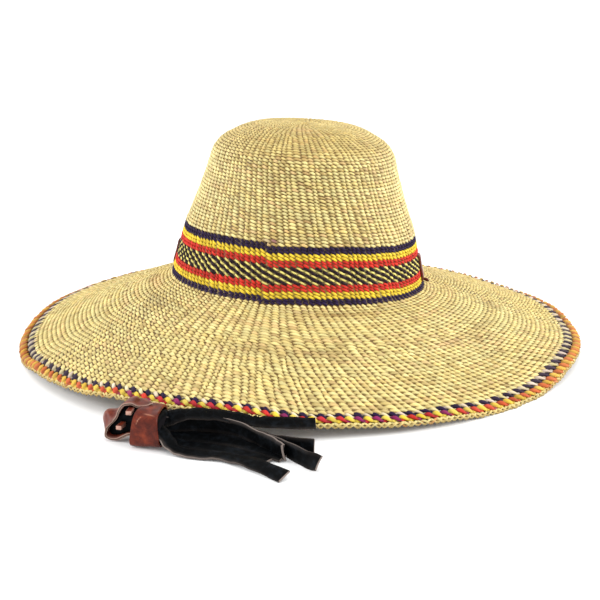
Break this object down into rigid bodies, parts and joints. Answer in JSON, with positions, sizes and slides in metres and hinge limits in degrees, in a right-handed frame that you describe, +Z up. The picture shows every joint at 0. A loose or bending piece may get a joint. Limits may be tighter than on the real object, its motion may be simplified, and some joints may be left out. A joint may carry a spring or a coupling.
{
  "type": "wide-brimmed woven straw hat with leather chin strap and tassel",
  "caption": "Wide-brimmed hat of twined straw with a dyed patterned band, a plaited rim edge, a leather chin strap and a leather tassel lying in front.",
  "frame": {"origin": "on the surface that the hat lies on, under the middle of the rim", "axes": "+Z up through the crown, -Y towards the front where the tassel lies, +X to the right of someone looking at the front"},
  "size_m": [0.447, 0.5289, 0.1774],
  "materials": {
    "straw": "dry matt twined straw",
    "dyed_band": "dyed twined straw",
    "dark_row": "indigo and plain straw stitches",
    "bright_row": "red and yellow straw stitches",
    "brown_leather": "polished goat leather",
    "black_leather": "dyed leather, raw cut edges"
  },
  "bodies": {
    "root": {"crown": "straw", "woven_band": "dyed_band", "brim": "straw", "rim_dark_row": "dark_row", "rim_bright_row": "bright_row", "rim_plait": "straw", "strap_anchor_right": "brown_leather", "strap_anchor_left": "brown_leather", "chin_strap_right": "brown_leather", "chin_strap_left": "brown_leather", "tassel_loop": "brown_leather", "tassel_wrap": "brown_leather", "tassel_fringe": "black_leather"}
  },
  "joints": []
}
